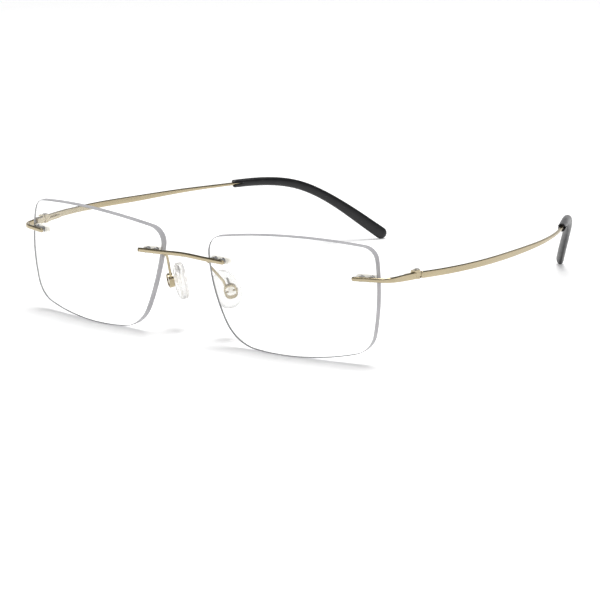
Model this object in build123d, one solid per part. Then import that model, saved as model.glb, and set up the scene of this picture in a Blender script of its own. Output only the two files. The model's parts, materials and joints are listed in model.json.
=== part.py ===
"""Rimless eyeglasses: two drilled lenses held by a bridge, end pieces, hinged temples and nose pads.

Millimetres. +X is the wearer's left, +Y runs back along the temples, +Z is up.
The left half is modelled with the lens centres at Y = 0 and is mirrored for the right half. The
finished model is then moved so that its origin is the middle of the footprint it rests on.
"""

from build123d import *
from math import cos, radians, sin, sqrt
import os

os.makedirs("parts", exist_ok=True)

# Lens: spherical shell, seen in its own plane (u towards the temple, v up)
LENS_CENTRE = Vector(35.25, 0, 17.1)
LENS_WRAP = 6.1  # degrees, outer edge swept back
LENS_TILT = 2.4  # degrees, top edge forward
LENS_RADIUS = 116.0  # of the middle surface
LENS_THICKNESS = 2.0
LENS_CORNERS = [(25.77, 15.73), (-27.36, 13.52), (-17.65, -15.86), (24.6, -13.12)]
LENS_BULGES = [2.43, 2.07, 2.5, 1.76]  # how far each side bows out, from corner to next corner
LENS_CORNER_RADII = [4.4, 5.0, 12.5, 7.6]

# Drilled mounts: two holes side by side, midway at (u, v)
NASAL_MOUNT = (-23.1, 7.45)
TEMPORAL_MOUNT = (23.5, 7.4)
HOLE_SPACING = 2.8
LENS_HOLE_R = 0.7
SLEEVE_R = 0.66
SLEEVE_BORE_R = 0.43
SLEEVE_PLATE = (6.6, 1.8, 1.05)  # length, height, thickness
SLEEVE_SINK = 0.02  # the barrels stop this far below the front surface
PIN_R = 0.4
PIN_DEPTH_IN_BAR = 0.5
COLLAR_R = 0.8  # shoulder that holds the bar off the lens
COLLAR_DEPTH_IN_BAR = 0.25
PLATE_GAP = 0.06  # the flat plate bridges the hollow back surface
BAR_GAP = 0.5

# Metal bar of the bridge and the end piece
BAR_DEPTH = 1.15
BAR_HEIGHT = 1.25
BAR_ROUNDING = 0.5
STRIP_ROUNDING = 0.35
NASAL_BAR = 3.4  # mount centre to the bar's free end
TEMPORAL_BAR = 3.7
BRIDGE_EDGE = 3.9  # mount centre to where the bridge leaves the lens
BRIDGE_TOP = Vector(0, -1.7, 25.0)
CORNER_REACH = 6.6  # mount centre to the end piece's corner
CORNER_RADIUS = 5.2
ENDPIECE_END = Vector(66.93, 15.52, 24.47)

# Temple
TEMPLE_ROUTE = [
    (67.37, 17.68, 24.42),
    (70.6, 33.8, 24.0),
    (71.2, 46.0, 23.7),
    (70.1, 63.0, 23.2),
    (67.7, 83.0, 22.9),
    (62.6, 101.0, 22.8),
    (55.3, 117.2, 22.2),
    (51.2, 125.5, 20.05),
    (46.8, 132.7, 16.1),
    (33.9, 150.7, 0.78),
]
STRIP_DEPTH = 0.8
STRIP_HEIGHT = 1.95
WIRE_SIZE = 1.0
STRIP_LENGTH = 37.0  # full-height stretch behind the hinge
WIRE_START = 85.0  # along the temple, where the strip has become a wire
TIP_START = 86.8  # along the temple, mouth of the plastic tip
TIP_HALF_DEPTH = 1.22
TIP_HALF_HEIGHTS = (1.3, 1.5, 2.0)  # at the mouth, halfway, and at the end
TIP_END_ROUND = 2.0
WIRE_INSIDE_TIP = 8.0  # the wire stops this far before the tip's end
TIP_FIT = 0.04
TIP_SLOT = (0.5, 3.2)  # width and length of the split at the tip's mouth

# Hinge
HINGE_AXIS = Vector(66.61, 16.71, 24.45)
HINGE_INSET = 0.55  # the strips' middle, outwards from the axis
KNUCKLE_R = 1.0
KNUCKLE_LEVELS = (-0.95, -0.38, 0.78, 1.5)  # lower, middle and upper knuckle, from the axis point
KNUCKLE_GAP = 0.04
KNUCKLE_WEB = 0.75  # half width of what joins a knuckle to its bar
HINGE_BLOCK = (3.4, 0.6, 1.7)  # length, thickness and height, inside the end piece
HINGE_CAP = (0.7, 0.5)  # reach of the block's rear over the end piece: forwards and outwards
BRAZE_GAP = 0.08
HINGE_LEAF = (7.4, 0.5, 0.85)  # length, thickness and height, inside the temple
LEAF_SHOULDER = 1.2  # length of the leaf's full-height front
SCREW_R = 0.4
SCREW_FIT = 0.03
SCREW_HEAD_R = 0.62
SCREW_HEAD = 0.32
SCREW_SLOT = 0.2

# Nose pad: its plane looks away from the nose
PAD_BOSS = Vector(9.61, 8.75, 15.08)  # middle of the insert
PAD_LEAN = Vector(-1.5, -4.0, 11.0)  # long axis, towards the top
PAD_SPLAY = 55  # degrees from straight sideways towards the front
PAD_MIDDLE = (-1.3, -0.2)  # the outline's centre, from the boss
PAD_LENGTH = 11.8
PAD_WIDTH = 8.0
PAD_THICKNESS = 3.2
PAD_ROUND = 1.35
INSERT_R = 1.5
INSERT_THICKNESS = 0.6
INSERT_TAIL = (0.7, 3.3)  # width and reach above the boss
STEM = (1.2, 1.8)  # width and height
RING_SIZE = (3.6, 4.1, 1.5)  # open ring at the arm's end: width, height and depth
RING_WALL = 0.42
RING_ROUNDING = 1.5
RING_START = 1.9  # pad's middle plane to the ring
PAD_PIVOT = 2.65  # pad's middle plane to the pivot pin
STEM_END = 3.2  # pad's middle plane to the stem's end
PAD_PIN_R = 0.25
PAD_PIN_HEAD = (0.45, 0.2)  # radius and height
ARM_R = 0.36
ARM_BEND = 2.0
ARM_START = Vector(7.6, -1.55, 24.6)
ARM_KNEE = Vector(7.7, 0.9, 23.1)
ARM_SIDE = -0.95  # the arm meets the ring's top this far to the front

wrap, tilt = radians(LENS_WRAP), radians(LENS_TILT)
LENS_PLANE = Plane(
    origin=LENS_CENTRE,
    x_dir=(cos(wrap), sin(wrap), 0),
    z_dir=(cos(tilt) * sin(wrap), -cos(tilt) * cos(wrap), -sin(tilt)),
)


def mount_plane(mount):
    """Plane touching the lens's front surface at (u, v), z away from the wearer."""
    u, v = mount
    normal = Vector(u, v, sqrt(LENS_RADIUS**2 - u**2 - v**2)).normalized()
    touch = normal * (LENS_RADIUS + LENS_THICKNESS / 2) - Vector(0, 0, LENS_RADIUS)
    local = Plane(origin=touch, x_dir=(normal.Z, 0, -normal.X), z_dir=normal)
    return Plane(LENS_PLANE.location * local.location)


NASAL = mount_plane(NASAL_MOUNT)
TEMPORAL = mount_plane(TEMPORAL_MOUNT)
BAR_LINE = BAR_GAP + BAR_DEPTH / 2  # bar's centreline above the lens's front surface


def at(plane, x, y, z):
    """A point given in a plane's own coordinates."""
    return plane.from_local_coords(Vector(x, y, z))


def upright(point, direction):
    """Section plane across a path, with x level."""
    return Plane(origin=point, x_dir=direction.cross(Vector(0, 0, 1)), z_dir=direction)


def strip(stations):
    """Bar through (point, direction, depth, height) stations, with rounded edges."""
    sections = []
    for point, direction, depth, height in stations:
        limit = blend(STRIP_ROUNDING, BAR_ROUNDING, (depth - STRIP_DEPTH) / (BAR_DEPTH - STRIP_DEPTH))
        rounding = min(limit, 0.44 * min(depth, height))
        sections.append(upright(point, direction) * RectangleRounded(depth, height, rounding))
    return loft(sections)


def blend(low, high, share):
    """Smooth step from low to high as share goes from 0 to 1."""
    t = min(max(share, 0), 1)
    return low + (high - low) * t * t * (3 - 2 * t)


def cylinder(plane, radius, low, high):
    """Round solid along a plane's z, between two heights."""
    align = (Align.CENTER, Align.CENTER, Align.MIN)
    return plane * Pos(0, 0, low) * Cylinder(radius, high - low, align=align)


def block(plane, low, high):
    """Box between two corners given in a plane's own coordinates."""
    size = Vector(*high) - Vector(*low)
    return plane * Pos(*low) * Box(size.X, size.Y, size.Z, align=(Align.MIN, Align.MIN, Align.MIN))


def hole_offsets():
    """The two pin positions beside a mount's centre."""
    return [-HOLE_SPACING / 2, HOLE_SPACING / 2]


def make_lens():
    count = len(LENS_CORNERS)
    centre = Vector(*[sum(c[i] for c in LENS_CORNERS) / count for i in (0, 1)])
    sides = []
    for i, bulge in enumerate(LENS_BULGES):
        a, b = Vector(*LENS_CORNERS[i]), Vector(*LENS_CORNERS[(i + 1) % count])
        middle = (a + b) / 2
        outward = (b - a).cross(Vector(0, 0, 1)).normalized()
        if outward.dot(middle - centre) < 0:
            outward = -outward
        sides.append(ThreePointArc(a, middle + outward * bulge, b))
    outline = make_face(sides)
    for corner, radius in zip(LENS_CORNERS, LENS_CORNER_RADII):
        vertex = outline.vertices().sort_by_distance(Vector(*corner))[0]
        outline = fillet(vertex, radius)
    blank = extrude(outline, LENS_THICKNESS * 4, both=True)
    # The spheres lie on their sides, so that their poles are far from the lens
    ball = Pos(0, 0, -LENS_RADIUS) * Rot(90, 0, 0)
    outer = ball * Sphere(LENS_RADIUS + LENS_THICKNESS / 2)
    inner = ball * Sphere(LENS_RADIUS - LENS_THICKNESS / 2)
    lens = LENS_PLANE * ((blank & outer) - inner)
    for mount in (NASAL, TEMPORAL):
        for x in hole_offsets():
            lens -= cylinder(mount * Pos(x, 0, 0), LENS_HOLE_R, -2 * LENS_THICKNESS, LENS_THICKNESS)
    return lens


def make_sleeve(mount):
    """Clear double bush: a plate behind the lens and two barrels through it."""
    length, height, thickness = SLEEVE_PLATE
    back = -LENS_THICKNESS - PLATE_GAP
    plate = mount * Pos(0, 0, back - thickness) * extrude(SlotOverall(length, height), thickness)
    for x in hole_offsets():
        plate += cylinder(mount * Pos(x, 0, 0), SLEEVE_R, back - thickness / 2, -SLEEVE_SINK)
    for x in hole_offsets():
        plate -= cylinder(mount * Pos(x, 0, 0), SLEEVE_BORE_R, back - 2 * thickness, LENS_THICKNESS)
    return plate


def make_pins(mount):
    """Two shouldered pins from blind holes in the bar to the sleeve plate's outer face."""
    low = -LENS_THICKNESS - PLATE_GAP - SLEEVE_PLATE[2]
    pins = []
    for x in hole_offsets():
        place = mount * Pos(x, 0, 0)
        collar = cylinder(place, COLLAR_R, SLEEVE_SINK, BAR_GAP + COLLAR_DEPTH_IN_BAR)
        pins.append(cylinder(place, PIN_R, low, BAR_GAP + PIN_DEPTH_IN_BAR) + collar)
    return pins[0] + pins[1]


def rounded_end(start, direction, depth, height):
    """Stations of a bar's rounded free end, from its tip inwards."""
    reach = [(0, 0.55), (0.12, 0.78), (0.35, 0.94), (0.8, 1)]
    return [(start + direction * d, direction, depth * s, height * s) for d, s in reach]


def make_bridge():
    tip = at(NASAL, NASAL_BAR, 0, BAR_LINE)
    edge = at(NASAL, -BRIDGE_EDGE, 0, BAR_LINE)
    inward = (edge - tip).normalized()
    mirrored_edge = Vector(-edge.X, edge.Y, edge.Z)
    mirrored_in = Vector(inward.X, -inward.Y, -inward.Z)
    arch = Spline(edge, BRIDGE_TOP, mirrored_edge, tangents=[inward, mirrored_in])
    left = rounded_end(tip, inward, BAR_DEPTH, BAR_HEIGHT)
    left.append(((tip + edge) / 2, inward, BAR_DEPTH, BAR_HEIGHT))
    middle = [(arch @ t, arch % t, BAR_DEPTH, BAR_HEIGHT) for t in (0, 0.15, 0.32, 0.5, 0.68, 0.85, 1)]
    right = []
    for point, direction, depth, height in reversed(left):
        other = Vector(-point.X, point.Y, point.Z)
        right.append((other, Vector(direction.X, -direction.Y, -direction.Z), depth, height))
    bridge = strip(left + middle + right)
    pins = make_pins(NASAL)
    return bridge - pins - pins.mirror(Plane.YZ)


def make_endpiece():
    tip = at(TEMPORAL, -TEMPORAL_BAR, 0, BAR_LINE)
    corner = at(TEMPORAL, CORNER_REACH, 0, BAR_LINE)
    path = FilletPolyline(tip, corner, ENDPIECE_END, radius=CORNER_RADIUS)
    outward = (corner - tip).normalized()
    stations = rounded_end(tip, outward, BAR_DEPTH, BAR_HEIGHT)
    for step in range(2, 21):
        share = step / 20
        depth = blend(BAR_DEPTH, STRIP_DEPTH, (share - 0.3) / 0.5)
        height = blend(BAR_HEIGHT, STRIP_HEIGHT, (share - 0.3) / 0.6)
        stations.append((path @ share, path % share, depth, height))
    return strip(stations) - make_pins(TEMPORAL)


def temple_section(s):
    """Depth and height of the metal at a distance along the temple."""
    share = (s - STRIP_LENGTH) / (WIRE_START - STRIP_LENGTH)
    return blend(STRIP_DEPTH, WIRE_SIZE, share), blend(STRIP_HEIGHT, WIRE_SIZE, share)


def make_temple_and_tip():
    route = Spline(*TEMPLE_ROUTE)
    total = route.length
    wire_end = total - WIRE_INSIDE_TIP

    def spread(low, high, count):
        return [low + (high - low) * i / (count - 1) for i in range(count)]

    metal, bore = [], []
    for s in spread(0, wire_end, 28):
        depth, height = temple_section(s)
        metal.append((route @ (s / total), route % (s / total), depth, height))
    for s in spread(TIP_START - 2, wire_end + TIP_FIT, 14):
        depth, height = temple_section(s)
        fit = 2 * TIP_FIT
        bore.append((route @ (s / total), route % (s / total), depth + fit, height + fit))

    sections = []
    body_end = total - TIP_END_ROUND
    mouth_height, middle_height, end_height = TIP_HALF_HEIGHTS
    for s in spread(TIP_START, body_end, 13):
        share = (s - TIP_START) / (body_end - TIP_START)
        height = mouth_height + 2 * (middle_height - mouth_height) * min(share, 0.5)
        height += blend(0, end_height - middle_height, (share - 0.5) / 0.5)
        plane = upright(route @ (s / total), route % (s / total))
        sections.append(plane * Ellipse(TIP_HALF_DEPTH, height))
    cap = scale(Sphere(1), by=(TIP_HALF_DEPTH, end_height, TIP_END_ROUND))
    reach = 2 * end_height
    cap &= block(Plane.XY, (-reach, -reach, 0), (reach, reach, reach))
    outer = loft(sections) + plane * cap
    tip = outer - strip(bore)
    mouth = upright(route @ (TIP_START / total), route % (TIP_START / total))
    width, length = TIP_SLOT
    tip -= block(mouth, (-reach, -width / 2, -length), (reach, width / 2, length))
    return strip(metal), tip


def level_plane(origin, heading):
    """Plane with y along a heading, seen from above, and z up."""
    heading = Vector(heading.X, heading.Y, 0)
    return Plane(origin=origin, x_dir=heading.cross(Vector(0, 0, 1)), z_dir=(0, 0, 1))


HINGE = level_plane(HINGE_AXIS, Vector(*TEMPLE_ROUTE[0]) - ENDPIECE_END)
ENDPIECE_REAR = level_plane(ENDPIECE_END, ENDPIECE_END - at(TEMPORAL, CORNER_REACH, 0, BAR_LINE))


def knuckle(low, high, joined):
    """Round solid on the hinge axis with a web towards joined, 1 for the temple or -1 for the front."""
    reach = joined * (KNUCKLE_R + KNUCKLE_GAP)
    web = block(HINGE, (-KNUCKLE_WEB, min(reach, 0), low), (KNUCKLE_WEB, max(reach, 0), high))
    return cylinder(HINGE, KNUCKLE_R, low, high) + web


def make_front_hinge():
    """Block brazed inside the end piece, with a cap over its end and the upper and lower knuckles."""
    bottom, lower, upper, top = KNUCKLE_LEVELS
    length, thickness, height = HINGE_BLOCK
    cap_length, cap_side = HINGE_CAP
    face = -STRIP_DEPTH / 2 - BRAZE_GAP
    inner, over = face - thickness, STRIP_HEIGHT / 2 + BRAZE_GAP
    hinge = block(ENDPIECE_REAR, (inner, -length, -height / 2), (face, 0.3, height / 2))
    hinge += block(ENDPIECE_REAR, (inner, -cap_length, 0), (face, 0.3, top))
    hinge += block(ENDPIECE_REAR, (inner, -cap_length, over), (cap_side, 0.3, top))
    hinge += knuckle(upper + KNUCKLE_GAP, top, -1) + knuckle(bottom, lower - KNUCKLE_GAP, -1)
    hinge -= cylinder(HINGE, KNUCKLE_R + KNUCKLE_GAP, lower - KNUCKLE_GAP, upper + KNUCKLE_GAP)
    return hinge - cylinder(HINGE, SCREW_R + SCREW_FIT, 2 * bottom, 2 * top)


def make_temple_hinge(temple):
    """Leaf brazed inside the temple, with the middle knuckle."""
    bottom, lower, upper, top = KNUCKLE_LEVELS
    length, thickness, height = HINGE_LEAF
    front = KNUCKLE_R + KNUCKLE_GAP
    hinge = knuckle(lower, upper, 1)
    corner = (HINGE_INSET - STRIP_DEPTH / 2 - thickness, front, bottom)
    hinge += block(HINGE, corner, (HINGE_INSET, front + length, bottom + height))
    hinge += block(HINGE, corner, (HINGE_INSET, front + LEAF_SHOULDER, upper))
    hinge -= cylinder(HINGE, SCREW_R + SCREW_FIT, 2 * bottom, 2 * top)
    return hinge - temple


def make_hinge_screw():
    bottom, top = KNUCKLE_LEVELS[0], KNUCKLE_LEVELS[-1]
    screw = cylinder(HINGE, SCREW_R, bottom, top) + cylinder(HINGE, SCREW_HEAD_R, top, top + SCREW_HEAD)
    slot = SCREW_SLOT / 2
    return screw - block(HINGE, (-1, -slot, top + SCREW_HEAD / 2), (1, slot, top + 1))


def pad_plane():
    """Origin at the pad's boss, y up the long axis, z away from the nose."""
    up = PAD_LEAN.normalized()
    splay = radians(PAD_SPLAY)
    outward = Vector(cos(splay), -sin(splay), 0)
    outward = (outward - up * outward.dot(up)).normalized()
    return Plane(origin=PAD_BOSS, x_dir=up.cross(outward), z_dir=outward)


PAD = pad_plane()
PAD_AXIS = Plane(origin=at(PAD, 0, 0, PAD_PIVOT), x_dir=PAD.y_dir, z_dir=PAD.x_dir)


def make_insert(growth=0.0):
    """Keyhole plate moulded into the pad, with the stem that the screw holds."""
    half = INSERT_THICKNESS / 2
    tail_width, tail_reach = INSERT_TAIL
    width, height = STEM
    insert = cylinder(PAD, INSERT_R + growth, -half - growth, half + growth)
    tail = (tail_width / 2 + growth, tail_reach + growth, half + growth)
    insert += block(PAD, (-tail[0], 0, -tail[2]), tail)
    stem = (width / 2 + growth, height / 2 + growth)
    insert += block(PAD, (-stem[0], -stem[1], 0), (*stem, STEM_END))
    return insert - cylinder(PAD_AXIS, PAD_PIN_R + SCREW_FIT, -2, 2)


def make_nose_pad():
    half_w, half_l = PAD_WIDTH / 2, PAD_LENGTH / 2
    # Egg-shaped outline, broader below the middle
    right = [(0.82 * half_w, 0.55 * half_l), (half_w, -0.12 * half_l), (0.72 * half_w, -0.72 * half_l)]
    left = [(-x, y) for x, y in reversed(right)]
    rim = Spline((0, half_l), *right, (0, -half_l), *left, periodic=True)
    pad = extrude(make_face(rim), PAD_THICKNESS / 2, both=True)
    pad = Pos(*PAD_MIDDLE, 0) * fillet(pad.edges(), PAD_ROUND)
    return PAD * pad - make_insert(growth=0.02)


def make_pad_ring():
    """Open ring at the arm's end, round the insert's stem."""
    width, height, depth = RING_SIZE
    ring = RectangleRounded(width, height, RING_ROUNDING)
    ring -= RectangleRounded(width - 2 * RING_WALL, height - 2 * RING_WALL, RING_ROUNDING - RING_WALL)
    ring = Pos(0, 0, RING_START) * extrude(ring, depth)
    return PAD * ring - cylinder(PAD_AXIS, PAD_PIN_R, -width, width)


def make_pad_pin():
    half = RING_SIZE[0] / 2
    radius, height = PAD_PIN_HEAD
    return cylinder(PAD_AXIS, PAD_PIN_R, -half, half) + cylinder(PAD_AXIS, radius, half, half + height)


def make_pad_arm(bridge, ring):
    top = at(PAD, ARM_SIDE, RING_SIZE[1] / 2 + 1.5, PAD_PIVOT)
    socket = at(PAD, ARM_SIDE, RING_SIZE[1] / 2 - 0.45, PAD_PIVOT)
    wire = FilletPolyline(ARM_START, ARM_KNEE, top, socket, radius=(ARM_BEND, ARM_BEND / 2))
    section = Plane(origin=wire @ 0, z_dir=wire % 0) * Circle(ARM_R)
    arm = sweep(section, path=wire)
    inside = RectangleRounded(RING_SIZE[0] - 0.1, RING_SIZE[1] - 0.1, RING_ROUNDING - 0.05)
    return (arm - bridge) - ring - PAD * Pos(0, 0, RING_START) * extrude(inside, RING_SIZE[2])


bridge = make_bridge()
temple, temple_tip = make_temple_and_tip()
pad_ring = make_pad_ring()

left_half = {
    "lens": make_lens(),
    "lens_sleeve_nasal": make_sleeve(NASAL),
    "lens_sleeve_temporal": make_sleeve(TEMPORAL),
    "bridge_pins": make_pins(NASAL),
    "endpiece_pins": make_pins(TEMPORAL),
    "endpiece": make_endpiece(),
    "front_hinge": make_front_hinge(),
    "temple_hinge": make_temple_hinge(temple),
    "hinge_screw": make_hinge_screw(),
    "temple": temple,
    "temple_tip": temple_tip,
    "pad_arm": make_pad_arm(bridge, pad_ring),
    "pad_ring": pad_ring,
    "pad_pin": make_pad_pin(),
    "pad_insert": make_insert(),
    "nose_pad": make_nose_pad(),
}

nodes = {"bridge": bridge}
for name, solid in left_half.items():
    nodes[f"{name}_left"] = solid
    nodes[f"{name}_right"] = solid.mirror(Plane.YZ)

boxes = [solid.bounding_box() for solid in nodes.values()]
front, back = min(b.min.Y for b in boxes), max(b.max.Y for b in boxes)
floor = min(b.min.Z for b in boxes)
to_origin = Pos(0, -(front + back) / 2, -floor)
for name, solid in nodes.items():
    export_step(to_origin * solid, f"parts/{name}.step")

print("moved by", to_origin.position)
for name in ("lens_left", "temple_tip_left"):
    print(name, "lowest point", nodes[name].bounding_box().min.Z - floor)
for label, point in (("hinge axis", HINGE_AXIS), ("pad pivot", PAD_AXIS.origin)):
    print(label, to_origin.position + point)
print("pad axis", PAD_AXIS.z_dir, "temple length", Spline(*TEMPLE_ROUTE).length)
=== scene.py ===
"""Looks of the rimless eyeglasses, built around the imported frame."""

import json
from math import atan2, cos, pi, radians, sin, sqrt, tan

import bpy
import numpy as np
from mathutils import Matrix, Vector
from mathutils.geometry import delaunay_2d_cdt

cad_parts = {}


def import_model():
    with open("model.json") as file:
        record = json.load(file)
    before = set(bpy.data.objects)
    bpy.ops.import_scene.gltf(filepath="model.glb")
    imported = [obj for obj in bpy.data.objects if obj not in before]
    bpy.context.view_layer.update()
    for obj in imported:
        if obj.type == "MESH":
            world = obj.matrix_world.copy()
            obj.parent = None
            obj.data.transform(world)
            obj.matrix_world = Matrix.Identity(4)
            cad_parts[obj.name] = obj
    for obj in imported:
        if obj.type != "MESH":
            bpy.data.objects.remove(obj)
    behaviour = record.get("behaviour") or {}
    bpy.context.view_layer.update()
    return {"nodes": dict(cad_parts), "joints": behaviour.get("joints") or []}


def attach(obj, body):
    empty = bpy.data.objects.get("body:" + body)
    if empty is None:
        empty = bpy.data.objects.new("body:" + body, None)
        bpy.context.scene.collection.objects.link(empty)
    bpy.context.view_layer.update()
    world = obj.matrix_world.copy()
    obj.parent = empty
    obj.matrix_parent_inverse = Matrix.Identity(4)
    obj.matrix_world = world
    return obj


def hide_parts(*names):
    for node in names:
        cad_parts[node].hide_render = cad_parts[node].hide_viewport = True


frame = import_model()

MM = 0.001
UP = np.array((0.0, 0.0, 1.0))
SIDES = (("left", 1), ("right", -1))

# Driving dimensions, in millimetres in the modelling frame: lens centres at y = 0
LENS_CENTRE = (35.25, 0, 17.1)
LENS_WRAP, LENS_TILT = radians(6.1), radians(2.4)
LENS_RADIUS = 116.0
LENS_THICKNESS = 2.0
LENS_CORNERS = [(25.77, 15.73), (-27.36, 13.52), (-17.65, -15.86), (24.6, -13.12)]
LENS_BULGES = [2.43, 2.07, 2.5, 1.76]
LENS_CORNER_RADII = [4.4, 5.0, 12.5, 7.6]
LENS_BEVEL = 0.2
LENS_GRID = 1.7
NASAL_MOUNT, TEMPORAL_MOUNT = (-23.1, 7.45), (23.5, 7.4)
HOLE_SPACING, HOLE_R = 2.8, 0.7

BAR_GAP, BAR_DEPTH, BAR_HEIGHT, BAR_ROUNDING = 0.5, 1.15, 1.25, 0.5
NASAL_BAR, TEMPORAL_BAR, BRIDGE_EDGE, BRIDGE_TOP = 3.4, 3.7, 3.9, (0, -1.7, 25.0)
CORNER_REACH, CORNER_RADIUS, ENDPIECE_END = 6.6, 5.2, (66.93, 15.52, 24.47)

TEMPLE_ROUTE = [
    (67.37, 17.68, 24.42), (70.6, 33.8, 24.0), (71.2, 46.0, 23.7), (70.1, 63.0, 23.2),
    (67.7, 83.0, 22.9), (62.6, 101.0, 22.8), (55.3, 117.2, 22.2), (51.2, 125.5, 20.05),
    (46.8, 132.7, 16.1), (33.9, 150.7, 0.78),
]
STRIP_DEPTH, STRIP_HEIGHT, STRIP_ROUNDING, WIRE_SIZE = 0.8, 1.95, 0.35, 1.0
STRIP_LENGTH, WIRE_START = 37.0, 85.0
TIP_START, TIP_HALF_DEPTH, TIP_HALF_HEIGHTS = 86.8, 1.22, (1.3, 1.5, 2.0)
TIP_END_ROUND, WIRE_INSIDE_TIP = 2.0, 8.0
TIP_NOTCH, TIP_NOTCH_SHARE = 3.0, 0.3

HINGE_AXIS = (66.61, 16.71, 24.45)

PAD_BOSS, PAD_LEAN, PAD_SPLAY = (9.61, 8.75, 15.08), (-1.5, -4.0, 11.0), radians(55)
PAD_MIDDLE, PAD_LENGTH, PAD_WIDTH, PAD_THICKNESS = (-1.3, -0.2), 11.8, 8.0, 3.2
INSERT_R, INSERT_HOLE_R, INSERT_THICKNESS = 1.5, 1.0, 0.6
INSERT_TAIL, STEM, STEM_END = (0.7, 3.3), (1.2, 1.8), 3.2
RING_HEIGHT, PAD_PIVOT = 4.1, 2.65
ARM_R, ARM_BEND, ARM_SIDE = 0.36, 2.0, -0.95
ARM_LEAD, ARM_SINK = 1.5, 0.4  # last bend above the ring, and how far the end goes into its wall
ARM_ROOT, ARM_ROOT_LENGTH = 0.4, 1.3  # how much thicker the arm starts, and over what length
ARM_START, ARM_KNEE = (7.6, -1.55, 24.6), (7.7, 0.9, 23.1)

hinge = next(j for j in frame["joints"] if j["name"] == "left_temple_fold")
SHIFT = np.array(hinge["pos_m"]) / MM - HINGE_AXIS


# ---------------------------------------------------------------- vectors and paths
def vec(*v):
    return np.array(v, float)


def unit(v):
    return np.asarray(v, float) / np.linalg.norm(v)


def blend(low, high, share):
    t = np.clip(share, 0, 1)
    return low + (high - low) * t * t * (3 - 2 * t)


class Axes:
    """A local frame: origin and three unit directions."""

    def __init__(self, origin, x, z):
        self.origin, self.x, self.z = vec(*origin), unit(x), unit(z)
        self.y = np.cross(self.z, self.x)

    def at(self, a, b, c):
        return self.origin + np.multiply.outer(a, self.x) + np.multiply.outer(
            b, self.y) + np.multiply.outer(c, self.z)


class Path:
    """A line through dense points, read by distance."""

    def __init__(self, points):
        self.points = np.array(points, float)
        steps = np.linalg.norm(np.diff(self.points, axis=0), axis=1)
        keep = np.concatenate(([True], steps > 1e-9))
        self.points = self.points[keep]
        steps = np.linalg.norm(np.diff(self.points, axis=0), axis=1)
        self.s = np.concatenate(([0], np.cumsum(steps)))
        self.length = self.s[-1]
        self.slopes = np.gradient(self.points, self.s, axis=0)

    def read(self, table, s):
        return np.array([np.interp(s, self.s, table[:, i]) for i in range(3)]).T

    def point(self, s):
        return self.read(self.points, s)

    def heading(self, s):
        v = self.read(self.slopes, s)
        return v / np.linalg.norm(v, axis=-1, keepdims=True)


def end_slope(t, p):
    """Slope at the first of a few points, of the polynomial through them."""
    slope = sum(1 / (t[0] - t[m]) for m in range(1, len(t))) * p[0]
    for j in range(1, len(t)):
        share = 1 / (t[j] - t[0])
        for m in range(1, len(t)):
            if m != j:
                share *= (t[0] - t[m]) / (t[j] - t[m])
        slope = slope + share * p[j]
    return slope


def curve(points, ends=None, samples=60):
    """Dense points on the smooth cubic through points; ends gives the end directions."""
    p = np.array(points, float)
    t = np.concatenate(([0], np.cumsum(np.linalg.norm(np.diff(p, axis=0), axis=1))))
    n, few = len(p), min(4, len(p))
    first = end_slope(t[:few], p[:few])
    last = end_slope(t[::-1][:few], p[::-1][:few])
    if ends is not None:
        first = unit(ends[0]) * np.linalg.norm(first)
        last = unit(ends[1]) * np.linalg.norm(last)
    h = np.diff(t)
    a, b = np.zeros((n, n)), np.zeros((n, 3))
    a[0, 0] = a[-1, -1] = 1
    b[0], b[-1] = first, last
    for i in range(1, n - 1):
        a[i, i - 1: i + 2] = h[i], 2 * (h[i - 1] + h[i]), h[i - 1]
        b[i] = 3 * (h[i] * (p[i] - p[i - 1]) / h[i - 1] + h[i - 1] * (p[i + 1] - p[i]) / h[i])
    m = np.linalg.solve(a, b)
    out = []
    for i in range(n - 1):
        x = np.linspace(0, 1, samples, endpoint=i == n - 2)[:, None]
        out.append((1 + 2 * x) * (1 - x) ** 2 * p[i] + x * (1 - x) ** 2 * h[i] * m[i]
                   + x * x * (3 - 2 * x) * p[i + 1] + x * x * (x - 1) * h[i] * m[i + 1])
    return np.vstack(out)


def filleted(points, radii, samples=24):
    """Dense points on a polyline whose inner corners are rounded."""
    p = [vec(*q) for q in points]
    out = [p[0]]
    for before, corner, after, radius in zip(p, p[1:], p[2:], radii):
        back, ahead = unit(before - corner), unit(after - corner)
        half = np.arccos(np.clip(back @ ahead, -1, 1)) / 2
        middle = corner + unit(back + ahead) * radius / sin(half)
        start = corner + back * radius / tan(half)
        inward, along = unit(start - middle), -back
        turn = pi - 2 * half
        out += [middle + radius * (inward * cos(a) + along * sin(a))
                for a in np.linspace(0, turn, samples)]
    out.append(p[-1])
    dense = []
    for a, b in zip(out, out[1:]):
        count = max(1, int(np.linalg.norm(b - a) / 0.25))
        dense += [a + (b - a) * i / count for i in range(count)]
    return np.array(dense + [out[-1]])


# ---------------------------------------------------------------- meshes
def rounded(depth, height, rounding, per_corner=7):
    """Points round a rounded rectangle, anticlockwise."""
    r = min(rounding, 0.48 * min(depth, height))
    out = []
    for i, (a, b) in enumerate(((1, 1), (-1, 1), (-1, -1), (1, -1))):
        for k in range(per_corner):
            turn = (i + k / (per_corner - 1)) * pi / 2
            out.append((a * (depth / 2 - r) + r * cos(turn), b * (height / 2 - r) + r * sin(turn)))
    return np.array(out)


def ellipse(a, b, count=28):
    turn = np.arange(count) * 2 * pi / count
    return np.column_stack((a * np.cos(turn), b * np.sin(turn)))


def upright_ring(point, heading, section):
    """A section set across a path, its first axis level."""
    side = unit(np.cross(heading, UP))
    up = np.cross(side, heading)
    return point + np.outer(section[:, 0], side) + np.outer(section[:, 1], up)


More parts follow.
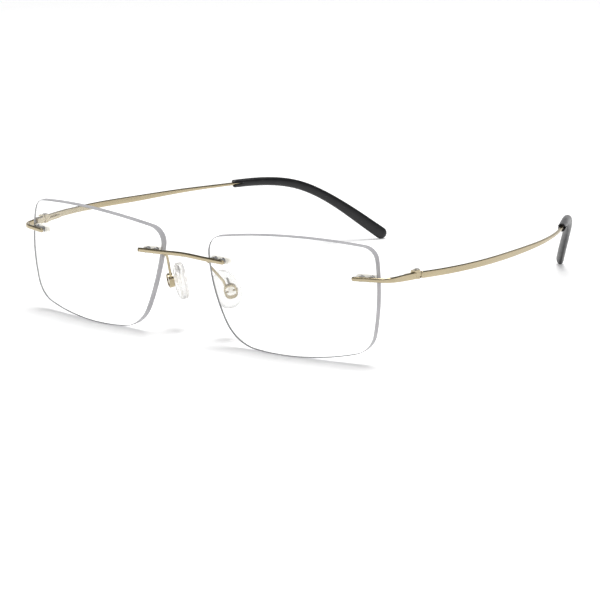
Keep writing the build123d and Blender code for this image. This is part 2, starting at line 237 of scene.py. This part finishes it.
def carried_rings(path, stations, radius):
    """Round sections carried along a path without twisting."""
    rings, side = [], None
    for s, share in stations:
        heading = path.heading(s)
        if side is None:
            side = np.cross(heading, (0.3, 0.8, 0.1))
        side = unit(side - heading * (side @ heading))
        other = np.cross(heading, side)
        section = ellipse(radius * share, radius * share)
        rings.append(path.point(s) + np.outer(section[:, 0], side) + np.outer(section[:, 1], other))
    return rings


def skin(rings, cap_start=True, cap_end=True):
    """Vertices and faces of a closed strip of rings, with fan caps."""
    rings = [np.asarray(r) for r in rings]
    count = len(rings[0])
    verts = list(np.vstack(rings))
    faces = []
    for i in range(len(rings) - 1):
        for k in range(count):
            a, b = i * count + k, i * count + (k + 1) % count
            faces.append((a, b, b + count, a + count))
    for wanted, ring, base, flip in ((cap_start, rings[0], 0, True),
                                     (cap_end, rings[-1], (len(rings) - 1) * count, False)):
        if wanted:
            hub = len(verts)
            verts.append(ring.mean(0))
            for k in range(count):
                a, b = base + k, base + (k + 1) % count
                faces.append((b, a, hub) if flip else (a, b, hub))
    return np.array(verts), faces


def join(*parts):
    """Several (verts, faces) as one."""
    verts, faces, base = [], [], 0
    for v, f in parts:
        verts.append(v)
        faces += [tuple(i + base for i in face) for face in f]
        base += len(v)
    return np.vstack(verts), faces


def outward(verts, faces):
    """Turns the faces of a closed shell so that they look out."""
    volume = 0.0
    for f in faces:
        for i in range(1, len(f) - 1):
            volume += np.dot(verts[f[0]], np.cross(verts[f[i]], verts[f[i + 1]]))
    return faces if volume > 0 else [tuple(reversed(f)) for f in faces]


def add(name, shape, body, node, mats, chosen=None, sharp=38, sides=SIDES):
    """Makes a piece on each side. chosen gives each face's material."""
    verts, faces = shape
    made = []
    for side, sign in sides:
        label = f"{name}_{side}" if len(sides) > 1 else name
        mesh = bpy.data.meshes.new(label)
        co = (np.asarray(verts) * (sign, 1, 1) + SHIFT) * MM
        turned = faces if sign > 0 else [tuple(reversed(f)) for f in faces]
        mesh.from_pydata(co.tolist(), [], turned)
        for m in mats:
            mesh.materials.append(m)
        if chosen is not None:
            mesh.polygons.foreach_set("material_index", chosen)
        mesh.shade_smooth()
        mesh.set_sharp_from_angle(angle=radians(sharp))
        mesh.update()
        piece = bpy.data.objects.new(label, mesh)
        bpy.context.scene.collection.objects.link(piece)
        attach(piece, body.format(side=side))
        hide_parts(node.format(side=side))
        made.append(piece)
    return made


# ---------------------------------------------------------------- materials
class Nodes:
    """A material's node tree with short calls."""

    def __init__(self, name):
        self.material = bpy.data.materials.new(name)
        self.material.use_nodes = True
        self.tree = self.material.node_tree
        self.shader = self.tree.nodes["Principled BSDF"]

    def new(self, kind, **inputs):
        node = self.tree.nodes.new(kind)
        for key, value in inputs.items():
            node.inputs[key.replace("_", " ")].default_value = value
        return node

    def link(self, a, b):
        self.tree.links.new(a, b)

    def noise(self, scale, detail=3.0, stretch=(1, 1, 1)):
        place = self.new("ShaderNodeTexCoord")
        mapping = self.new("ShaderNodeMapping", Scale=stretch)
        noise = self.new("ShaderNodeTexNoise", Scale=scale, Detail=detail)
        self.link(place.outputs["Object"], mapping.inputs["Vector"])
        self.link(mapping.outputs[0], noise.inputs["Vector"])
        return noise.outputs["Fac"]

    def ramp(self, source, socket, stops):
        ramp = self.tree.nodes.new("ShaderNodeValToRGB")
        points = ramp.color_ramp.elements
        for i, (place, value) in enumerate(stops):
            point = points[i] if i < 2 else points.new(place)
            point.position = place
            point.color = (*value, 1) if isinstance(value, tuple) else (value, value, value, 1)
        self.link(source, ramp.inputs["Fac"])
        self.link(ramp.outputs["Color"], self.shader.inputs[socket])
        return ramp

    def bump(self, source, strength, distance):
        bump = self.new("ShaderNodeBump", Strength=strength, Distance=distance)
        self.link(source, bump.inputs["Height"])
        self.link(bump.outputs["Normal"], self.shader.inputs["Normal"])

    def set(self, **values):
        for key, value in values.items():
            self.shader.inputs[key.replace("_", " ")].default_value = value


def metal(name, dark, light, rough, stretch):
    """Satin metal whose grain is drawn out along the axis that stretch makes small."""
    n = Nodes(name)
    n.set(Metallic=1.0)
    n.ramp(n.noise(260, 4, stretch), "Base Color", [(0.3, dark), (0.72, light)])
    n.ramp(n.noise(900, 5, stretch), "Roughness", [(0.3, rough[0]), (0.7, rough[1])])
    n.bump(n.noise(5200, 2, stretch), 0.08, 0.00003)
    return n.material


GOLD_DARK, GOLD_LIGHT = (0.42, 0.355, 0.23), (0.50, 0.425, 0.285)
gold_along_y = metal("gold_titanium_temple", GOLD_DARK, GOLD_LIGHT, (0.2, 0.3), (1, 0.05, 1))
gold_along_x = metal("gold_titanium_bridge", GOLD_DARK, GOLD_LIGHT, (0.16, 0.26), (0.08, 1, 1))
steel = metal("screw_steel", (0.46, 0.45, 0.43), (0.6, 0.59, 0.57), (0.22, 0.34), (1, 1, 1))


def clear(name, tint_low, tint_high, rough, ior, transmission, wave=0.0, glow=0.0):
    """Clear plastic. glow stands for the light that reaches it through other clear parts."""
    n = Nodes(name)
    n.set(IOR=ior, Transmission_Weight=transmission)
    n.set(Emission_Color=(0.95, 0.93, 0.88, 1), Emission_Strength=glow)
    n.ramp(n.noise(140, 3), "Base Color", [(0.3, tint_low), (0.7, tint_high)])
    n.ramp(n.noise(60, 4), "Roughness", [(0.35, rough[0]), (0.75, rough[1])])
    if wave:
        n.bump(n.noise(420, 2), wave, 0.00005)
    return n.material


glass = clear("lens", (0.975, 0.985, 0.98), (0.99, 0.995, 0.99), (0.0, 0.006), 1.56, 1.0)
frosted = clear("lens_edge", (0.41, 0.405, 0.425), (0.49, 0.485, 0.50), (0.45, 0.6), 1.5, 0.12, 0.2)
silicone = clear("clear_silicone", (0.86, 0.855, 0.85), (0.91, 0.905, 0.90), (0.15, 0.3), 1.41, 0.8,
                 wave=0.15, glow=0.08)
sleeve = clear("clear_sleeve", (0.78, 0.76, 0.71), (0.86, 0.84, 0.80), (0.3, 0.45), 1.49, 0.25,
               wave=0.1, glow=0.32)
# Near-black material for the insert's tail: painted shade, standing for the metal tail in shade
painted_shade_tail = clear("pad_core", (0.12, 0.12, 0.11), (0.2, 0.2, 0.19), (0.25, 0.4), 1.5, 0.2, 0.1)


def tip_plastic():
    """Black moulded plastic with a faint grain."""
    n = Nodes("black_tip")
    n.set(IOR=1.5, Specular_IOR_Level=0.3, Coat_Weight=0.12, Coat_Roughness=0.2)
    n.ramp(n.noise(300, 4), "Base Color", [(0.3, (0.006, 0.006, 0.007)), (0.75, (0.012, 0.012, 0.013))])
    n.ramp(n.noise(700, 4, (1, 0.4, 1)), "Roughness", [(0.3, 0.30), (0.7, 0.42)])
    n.bump(n.noise(2600, 3), 0.10, 0.00003)
    return n.material


black = tip_plastic()

# ---------------------------------------------------------------- lens
LENS = Axes(LENS_CENTRE, (cos(LENS_WRAP), sin(LENS_WRAP), 0),
            (cos(LENS_TILT) * sin(LENS_WRAP), -cos(LENS_TILT) * cos(LENS_WRAP), -sin(LENS_TILT)))


def mount_axes(mount):
    """Frame touching the lens's front surface at (u, v), z away from the wearer."""
    u, v = mount
    n = unit((u, v, sqrt(LENS_RADIUS**2 - u * u - v * v)))
    touch = n * (LENS_RADIUS + LENS_THICKNESS / 2) - (0, 0, LENS_RADIUS)
    turn = lambda w: w[0] * LENS.x + w[1] * LENS.y + w[2] * LENS.z
    return Axes(LENS.at(*touch), turn((n[2], 0, -n[0])), turn(n))


NASAL, TEMPORAL = mount_axes(NASAL_MOUNT), mount_axes(TEMPORAL_MOUNT)
BAR_LINE = BAR_GAP + BAR_DEPTH / 2


def lens_outline(spacing=0.8):
    """Closed outline in the lens plane, and its outward directions."""
    n = len(LENS_CORNERS)
    corners = [vec(*c) for c in LENS_CORNERS]
    middle = sum(corners) / n
    arcs = []
    for i, bulge in enumerate(LENS_BULGES):
        a, b = corners[i], corners[(i + 1) % n]
        half = np.linalg.norm(b - a) / 2
        radius = (half * half + bulge * bulge) / (2 * bulge)
        side = unit(((b - a)[1], -(b - a)[0]))
        if side @ ((a + b) / 2 - middle) < 0:
            side = -side
        arcs.append(((a + b) / 2 + side * (bulge - radius), radius))
    rounds = []
    for i, r in enumerate(LENS_CORNER_RADII):
        (c0, r0), (c1, r1) = arcs[i - 1], arcs[i]
        # Centre of the corner round: a set distance from both side centres
        d0, d1, gap = r0 - r, r1 - r, np.linalg.norm(c1 - c0)
        along = (d0 * d0 - d1 * d1 + gap * gap) / (2 * gap)
        across = sqrt(d0 * d0 - along * along)
        e = unit(c1 - c0)
        pair = [c0 + e * along + s * across * vec(-e[1], e[0]) for s in (1, -1)]
        centre = min(pair, key=lambda q: np.linalg.norm(q - corners[i]))
        rounds.append((centre, r, unit(centre - c0), unit(centre - c1)))
    points, normals = [], []

    def run(centre, radius, start, end):
        a, b = atan2(start[1], start[0]), atan2(end[1], end[0])
        turn = (b - a + pi) % (2 * pi) - pi
        count = max(6, int(abs(turn) * radius / spacing))
        for k in range(count):
            angle = a + turn * k / count
            normals.append((cos(angle), sin(angle)))
            points.append(centre + radius * vec(cos(angle), sin(angle)))

    for i in range(n):
        centre, r, before, after = rounds[i]
        run(centre, r, before, after)
        run(*arcs[i], after, rounds[(i + 1) % n][2])
    return np.array(points), np.array(normals)


def lens_shape():
    """The drilled lens: vertices, faces and each face's material (0 glass, 1 edge)."""
    outline, normals = lens_outline()
    inner = outline - normals * LENS_BEVEL
    rim = len(outline)
    holes = [vec(m[0] + dx, m[1]) for m in (NASAL_MOUNT, TEMPORAL_MOUNT)
             for dx in (-HOLE_SPACING / 2, HOLE_SPACING / 2)]
    drilled = 28
    ring = ellipse(HOLE_R, HOLE_R, drilled)
    flat = list(inner)
    edges = [(i, (i + 1) % rim) for i in range(rim)]
    for hole in holes:
        base = len(flat)
        flat += list(hole + ring)
        edges += [(base + k, base + (k + 1) % drilled) for k in range(drilled)]
        flat += list(hole + ring * 1.35)
    low, high = outline.min(0), outline.max(0)
    for row, v in enumerate(np.arange(low[1], high[1], LENS_GRID * 0.87)):
        for u in np.arange(low[0] + (row % 2) * LENS_GRID / 2, high[0], LENS_GRID):
            q = vec(u, v)
            nearest = int(np.argmin(np.linalg.norm(inner - q, axis=1)))
            if (inner[nearest] - q) @ normals[nearest] > 0.6 * LENS_GRID and all(
                    np.linalg.norm(q - h) > 1.9 * HOLE_R for h in holes):
                flat.append(q)
    result = delaunay_2d_cdt([Vector(q) for q in flat], edges, [list(range(rim))], 1, 1e-5)
    uv = np.array(result[0])
    triangles = [t for t in result[2]
                 if all(np.linalg.norm(uv[list(t)].mean(0) - h) > HOLE_R * 0.98 for h in holes)]
    where = {}
    for out, sources in enumerate(result[3]):
        for source in sources:
            where[source] = out

    def surface(q, half):
        """Points on the front (half > 0) or back sphere; the drillings lean with the mounts."""
        near = np.min([np.linalg.norm(q - vec(*m), axis=1) for m in (NASAL_MOUNT, TEMPORAL_MOUNT)], 0)
        lean = 1 - blend(0.0, 1.0, (near - 2.3) / 1.0)
        moved = q * (1 + lean * half / LENS_RADIUS)[:, None]
        w = np.sqrt((LENS_RADIUS + half)**2 - (moved**2).sum(1)) - LENS_RADIUS
        return LENS.at(moved[:, 0], moved[:, 1], w)

    t = LENS_THICKNESS / 2
    front, back = surface(uv, t), surface(uv, -t)
    edge_front = surface(outline, t) - LENS.z * LENS_BEVEL
    edge_back = surface(outline, -t) + LENS.z * LENS_BEVEL
    edge_middle = (edge_front + edge_back) / 2
    verts = np.vstack((front, back, edge_front, edge_middle, edge_back))
    n = len(uv)
    faces = [tuple(f) for f in triangles] + [tuple(i + n for i in reversed(f)) for f in triangles]
    chosen = [0] * len(faces)
    loops = [[where[i] for i in range(rim)]]
    loops += [[2 * n + j * rim + i for i in range(rim)] for j in range(3)]
    loops.append([where[i] + n for i in range(rim)])
    for a, b in zip(loops, loops[1:]):
        for i in range(rim):
            k = (i + 1) % rim
            faces.append((a[k], a[i], b[i], b[k]))
            chosen.append(1)
    base = rim
    for _ in holes:
        for k in range(drilled):
            i, j = where[base + k], where[base + (k + 1) % drilled]
            faces.append((i, j, j + n, i + n))
            chosen.append(1)
        base += 2 * drilled
    # One face with a known side decides which way all of them look
    a, b, c = verts[list(faces[0])]
    if np.cross(b - a, c - a) @ LENS.z < 0:
        faces = [tuple(reversed(f)) for f in faces]
    return (verts, faces), chosen


shape, chosen = lens_shape()
add("lens_glass", shape, "front", "lens_{side}", (glass, frosted), chosen, sharp=25)


# ---------------------------------------------------------------- bridge and end pieces
def end_shares():
    """(distance from a bar's free end, share of its full size)."""
    return [(0, 0.35), (0.03, 0.56), (0.09, 0.72), (0.18, 0.84), (0.32, 0.93), (0.5, 0.98), (0.7, 1)]


def bar_rings(path, sizes, start_round=True, end_round=False, step=0.5):
    """Rounded-rectangle rings along a path. sizes(s) gives depth and height."""
    stations = {}
    for s in np.linspace(0, path.length, int(path.length / step)):
        stations[round(float(s), 4)] = 1.0
    for wanted, place in ((start_round, lambda d: d), (end_round, lambda d: path.length - d)):
        if wanted:
            edge = sorted((place(0), place(0.7)))
            stations = {s: k for s, k in stations.items() if not edge[0] - 1e-6 <= s <= edge[1] + 1e-6}
            stations.update({place(d): share for d, share in end_shares()})
    rings = []
    for s in sorted(stations):
        depth, height = sizes(s)
        k = stations[s]
        squareness = (BAR_DEPTH - depth) / (BAR_DEPTH - STRIP_DEPTH)
        rounding = blend(BAR_ROUNDING, STRIP_ROUNDING, squareness)
        section = rounded(depth * k, height * k, rounding * k)
        rings.append(upright_ring(path.point(s), path.heading(s), section))
    return rings


def bridge_shape():
    """Bar across both nasal mounts, arched between them."""
    tip, edge = NASAL.at(NASAL_BAR, 0, BAR_LINE), NASAL.at(-BRIDGE_EDGE, 0, BAR_LINE)
    flip = vec(-1, 1, 1)
    inward = unit(edge - tip)
    arch = curve([edge, BRIDGE_TOP, edge * flip], ends=(inward, inward * (1, -1, -1)))
    straight = [tip + (edge - tip) * k / 20 for k in range(20)]
    path = Path(np.vstack((straight, arch, [q * flip for q in reversed(straight)])))
    verts, faces = skin(bar_rings(path, lambda s: (BAR_DEPTH, BAR_HEIGHT), end_round=True))
    return verts, outward(verts, faces)


def endpiece_shape():
    """Bar over the temporal mount that turns back and widens into the strip."""
    tip, corner = TEMPORAL.at(-TEMPORAL_BAR, 0, BAR_LINE), TEMPORAL.at(CORNER_REACH, 0, BAR_LINE)
    path = Path(filleted([tip, corner, ENDPIECE_END], [CORNER_RADIUS]))

    def sizes(s):
        share = s / path.length
        return (blend(BAR_DEPTH, STRIP_DEPTH, (share - 0.3) / 0.5),
                blend(BAR_HEIGHT, STRIP_HEIGHT, (share - 0.3) / 0.6))

    verts, faces = skin(bar_rings(path, sizes))
    return verts, outward(verts, faces)


add("bridge_bar", bridge_shape(), "front", "bridge", (gold_along_x,), sides=(("", 1),))
add("endpiece_bar", endpiece_shape(), "front", "endpiece_{side}", (gold_along_x,))


# ---------------------------------------------------------------- temples and tips
route = Path(curve(TEMPLE_ROUTE))


def temple_sizes(s):
    share = (s - STRIP_LENGTH) / (WIRE_START - STRIP_LENGTH)
    return blend(STRIP_DEPTH, WIRE_SIZE, share), blend(STRIP_HEIGHT, WIRE_SIZE, share)


def temple_shape():
    """Strip that narrows to a wire and ends inside the tip."""
    path = Path(route.point(np.linspace(0, route.length - WIRE_INSIDE_TIP, 1200)))
    verts, faces = skin(bar_rings(path, temple_sizes, step=0.9))
    return verts, outward(verts, faces)


def tip_shape():
    """Sleeve with a forked mouth, widening to a rounded end."""
    around = 64
    total = route.length
    turn = np.arange(around) * 2 * pi / around
    across, up = np.cos(turn), np.sin(turn)
    notch = TIP_NOTCH * (1 - blend(0.0, 1.0, np.abs(up) / TIP_NOTCH_SHARE))
    longer = 0.5 * np.clip(up, 0, 1)  # the upper prong reaches further
    start = TIP_START + notch - longer + 0.5 * np.clip(np.abs(up) - 0.75, 0, 1)
    body_end = total - TIP_END_ROUND
    mouth_height, middle_height, end_height = TIP_HALF_HEIGHTS

    def half_height(s):
        share = (s - TIP_START) / (body_end - TIP_START)
        first = 2 * (middle_height - mouth_height) * np.clip(share, 0, 0.5)
        return mouth_height + first + blend(0, end_height - middle_height, (share - 0.5) / 0.5)

    def ring(s, a, b):
        """One point per direction, each at its own distance along the route."""
        point, heading = route.point(s), route.heading(s)
        side = np.cross(heading, UP)
        side /= np.linalg.norm(side, axis=1, keepdims=True)
        top = np.cross(side, heading)
        return point + side * (a * across)[:, None] + top * (b * up)[:, None]

    rings = []
    wire = WIRE_SIZE / 2 + 0.05
    inside = np.full(around, TIP_START + 6.0)
    rings.append(ring(inside, wire, wire))
    rings.append(ring(start + 0.25, 0.66, 0.66))
    for back, share in ((0.08, 0.74), (0.0, 0.82), (0.0, 0.9), (0.06, 0.96), (0.22, 1.0)):
        rings.append(ring(start + back, TIP_HALF_DEPTH * share, half_height(start) * share))
    for k in np.linspace(0.01, 1, 90):
        s = start + 0.22 + (body_end - start - 0.22) * k
        rings.append(ring(s, TIP_HALF_DEPTH, half_height(s)))
    for k in np.linspace(0, pi / 2, 12)[1:-1]:
        s = np.full(around, body_end + TIP_END_ROUND * sin(k))
        rings.append(ring(s, TIP_HALF_DEPTH * cos(k), end_height * cos(k)))
    verts, faces = skin(rings)
    verts[-1] = route.point(total)
    return verts, outward(verts, faces)


add("temple_metal", temple_shape(), "{side}_temple", "temple_{side}", (gold_along_y,))
add("temple_end_cover", tip_shape(), "{side}_temple", "temple_tip_{side}", (black,), sharp=60)


# ---------------------------------------------------------------- nose pads
def pad_axes():
    up = unit(PAD_LEAN)
    out = vec(cos(PAD_SPLAY), -sin(PAD_SPLAY), 0)
    out = unit(out - up * (out @ up))
    return Axes(PAD_BOSS, np.cross(up, out), out)


PAD = pad_axes()


def pad_outline(turn):
    """Egg-shaped outline, broader below the middle."""
    y = np.sin(turn)
    half = PAD_WIDTH / 2 * (1 - 0.1 * y - 0.06 * y * y)
    x = np.cos(turn)
    return np.sign(x) * np.abs(x)**0.92 * half, y * PAD_LENGTH / 2


def pad_shape():
    """Clear pad: soft rim, gently domed skin side, and a raised middle round the insert."""
    turn = np.arange(96) * 2 * pi / 96
    ox, oy = pad_outline(turn)
    half = PAD_THICKNESS / 2
    rings = []

    def ring(shrink_x, shrink_y, z):
        rings.append(PAD.at(PAD_MIDDLE[0] + ox * shrink_x, PAD_MIDDLE[1] + oy * shrink_y, np.full(96, z)))

    for share in (0.04, 0.16, 0.3, 0.44, 0.56, 0.66, 0.76, 0.84, 0.9, 0.95, 0.985):
        z = -half * (0.62 + 0.38 * sqrt(1 - share**2.2)) + 0.5 * max(0, share - 0.86)**1.5 * 8
        ring(share, share, z)
    for k in (-0.5, -0.2, 0.15, 0.45):
        ring(1 - 0.05 * abs(k), 1 - 0.04 * abs(k), k * half * 0.9)
    for share in (0.975, 0.93, 0.86, 0.77, 0.66, 0.54, 0.42, 0.3, 0.16, 0.04):
        edge = blend(0.35, 0.78, (0.98 - share) / 0.1)
        hollow = -0.2 * blend(0, 1, (0.9 - share) / 0.25)
        middle = 0.22 * blend(0, 1, (0.55 - share) / 0.2)
        ring(share, share, half * (edge + hollow + middle))
    verts, faces = skin(rings)
    return verts, outward(verts, faces)


for pad in add("nose_pad_clear", pad_shape(), "{side}_pad", "nose_pad_{side}",
               (silicone,), sharp=80):
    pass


def ring_plate(outer, inner, thickness, round_over=0.12, count=40):
    """Flat ring in the pad's plane, its edges rounded."""
    half = thickness / 2
    profile = [(outer, -half + round_over), (outer, half - round_over), (outer - round_over, half),
               (inner + round_over, half), (inner, half - round_over), (inner, -half + round_over),
               (inner + round_over, -half), (outer - round_over, -half)]
    turn = np.arange(count) * 2 * pi / count
    rings = [PAD.at(r * np.cos(turn), r * np.sin(turn), np.full(count, z)) for r, z in profile]
    verts, faces = skin(rings + [rings[0]], cap_start=False, cap_end=False)
    n = len(profile) * count
    faces = [tuple(i % n if i >= n else i for i in f) for f in faces]
    verts = verts[:n]
    return verts, outward(verts, faces)


def pillar(low, high, steps, size, rounding, turned=False):
    """Rounded bar in pad coordinates, along z, or along y when turned."""
    rings = []
    for k in np.linspace(0, 1, steps):
        section = rounded(*size, rounding)
        place = low + (high - low) * k
        shrink = 0.8 if k in (0.0, 1.0) else 1.0
        a, b = section[:, 0] * shrink, section[:, 1] * shrink
        flat = np.full(len(a), place)
        rings.append(PAD.at(a, flat, b) if turned else PAD.at(a, b, flat))
    verts, faces = skin(rings)
    return verts, outward(verts, faces)


def insert_shape():
    """Keyhole plate with its stem, and each face's material (0 pale, 1 the tail, darker with painted shade).
    """
    pale = join(
        ring_plate(INSERT_R, INSERT_HOLE_R, INSERT_THICKNESS),
        pillar(-INSERT_HOLE_R - 0.1, INSERT_HOLE_R + 0.1, 6, (STEM[0], INSERT_THICKNESS * 0.9), 0.15,
               turned=True),
        pillar(-INSERT_THICKNESS / 2, STEM_END, 12, STEM, 0.3))
    # The tail takes the near-black material: painted shade on the metal insert
    tail = pillar(INSERT_R - 0.15, INSERT_TAIL[1], 8, (INSERT_TAIL[0], INSERT_THICKNESS), 0.15, turned=True)
    return join(pale, tail), [0] * len(pale[1]) + [1] * len(tail[1])


shape, chosen = insert_shape()
add("pad_insert_plate", shape, "{side}_pad", "pad_insert_{side}", (sleeve, painted_shade_tail), chosen)


def arm_shape():
    """Bent wire from behind the bridge to the ring."""
    top = PAD.at(ARM_SIDE, RING_HEIGHT / 2 + ARM_LEAD, PAD_PIVOT)
    socket = PAD.at(ARM_SIDE, RING_HEIGHT / 2 - ARM_SINK, PAD_PIVOT)
    path = Path(filleted([ARM_START, ARM_KNEE, top, socket], [ARM_BEND, ARM_BEND / 2]))
    stations = [(s, 1 + ARM_ROOT * max(0, 1 - s / ARM_ROOT_LENGTH)**1.5)
                for s in np.linspace(0, path.length, 70)]
    verts, faces = skin(carried_rings(path, stations, ARM_R))
    return verts, outward(verts, faces)


add("pad_arm_wire", arm_shape(), "front", "pad_arm_{side}", (gold_along_x,))

# ---------------------------------------------------------------- small fittings keep their shape
for name, node in frame["nodes"].items():
    if node.hide_render:
        continue
    wanted = steel if "screw" in name or "pins" in name else gold_along_x
    if "sleeve" in name:
        wanted = sleeve
    node.data.materials.clear()
    node.data.materials.append(wanted)


# ---------------------------------------------------------------- floor, light and camera
FLOOR_HALF, FLOOR_DROP = 8.0, 0.00002  # metres; the floor lies just under the feet
SKY = [(0.0, 1.0), (0.25, 0.95), (0.44, 0.09), (0.8, 0.08), (1.0, 0.6)]  # height, brightness
LAMP_PLACE, LAMP_SIZE, LAMP_POWER = (0.05, 0.1, 1.3), 0.7, 14
CAMERA_AZIMUTH, CAMERA_ELEVATION = radians(35.895), radians(13.074)
CAMERA_DISTANCE, CAMERA_LENS = 0.77304, 153.5
CAMERA_TARGET = (-2.190, 57.618, 0.369)  # in the modelling frame, mm


def floor():
    """Plain pale floor with a slight glow of its own, so that only contact shadows show."""
    mesh = bpy.data.meshes.new("floor")
    corners = [(a * FLOOR_HALF, b * FLOOR_HALF, -FLOOR_DROP) for a, b in ((-1, -1), (1, -1), (1, 1), (-1, 1))]
    mesh.from_pydata(corners, [], [(0, 1, 2, 3)])
    n = Nodes("floor")
    n.set(Emission_Strength=0.33, Emission_Color=(1, 1, 1, 1), Specular_IOR_Level=0.2)
    n.ramp(n.noise(3, 2), "Base Color", [(0.3, (0.90, 0.90, 0.90)), (0.7, (0.93, 0.93, 0.93))])
    n.ramp(n.noise(9, 2), "Roughness", [(0.3, 0.6), (0.7, 0.7)])
    mesh.materials.append(n.material)
    piece = bpy.data.objects.new("floor", mesh)
    bpy.context.scene.collection.objects.link(piece)


floor()


def world():
    """Bright round the horizon, dark above it, and brighter again straight overhead."""
    w = bpy.data.worlds.new("studio")
    bpy.context.scene.world = w
    w.use_nodes = True
    tree = w.node_tree
    background = tree.nodes["Background"]
    place = tree.nodes.new("ShaderNodeTexCoord")
    split = tree.nodes.new("ShaderNodeSeparateXYZ")
    ramp = tree.nodes.new("ShaderNodeValToRGB")
    stops = ramp.color_ramp.elements
    for i, (at, value) in enumerate(SKY):
        stop = stops[i] if i < 2 else stops.new(at)
        stop.position, stop.color = at, (value, value, value * 1.01, 1)
    tree.links.new(place.outputs["Generated"], split.inputs[0])
    tree.links.new(split.outputs["Z"], ramp.inputs["Fac"])
    tree.links.new(ramp.outputs["Color"], background.inputs["Color"])
    background.inputs["Strength"].default_value = 1.0


world()


def overhead():
    """One square lamp above, facing the middle of the floor."""
    data = bpy.data.lights.new("overhead", "AREA")
    data.shape, data.size, data.size_y, data.energy = "RECTANGLE", LAMP_SIZE, LAMP_SIZE, LAMP_POWER
    lamp = bpy.data.objects.new("overhead", data)
    bpy.context.scene.collection.objects.link(lamp)
    lamp.location = LAMP_PLACE
    lamp.rotation_euler = (-Vector(LAMP_PLACE)).to_track_quat("-Z", "Y").to_euler()


overhead()


def camera():
    """The camera, placed by its angles round the target."""
    data = bpy.data.cameras.new("camera")
    data.lens, data.sensor_width = CAMERA_LENS, 36
    data.clip_start, data.clip_end = 0.01, 50
    cam = bpy.data.objects.new("camera", data)
    bpy.context.scene.collection.objects.link(cam)
    back = Vector((sin(CAMERA_AZIMUTH) * cos(CAMERA_ELEVATION),
                   -cos(CAMERA_AZIMUTH) * cos(CAMERA_ELEVATION), sin(CAMERA_ELEVATION)))
    cam.location = Vector((SHIFT + CAMERA_TARGET) * MM) + back * CAMERA_DISTANCE
    cam.rotation_euler = (-back).to_track_quat("-Z", "Y").to_euler()
    bpy.context.scene.camera = cam


camera()
bpy.context.scene.view_settings.view_transform = "Standard"
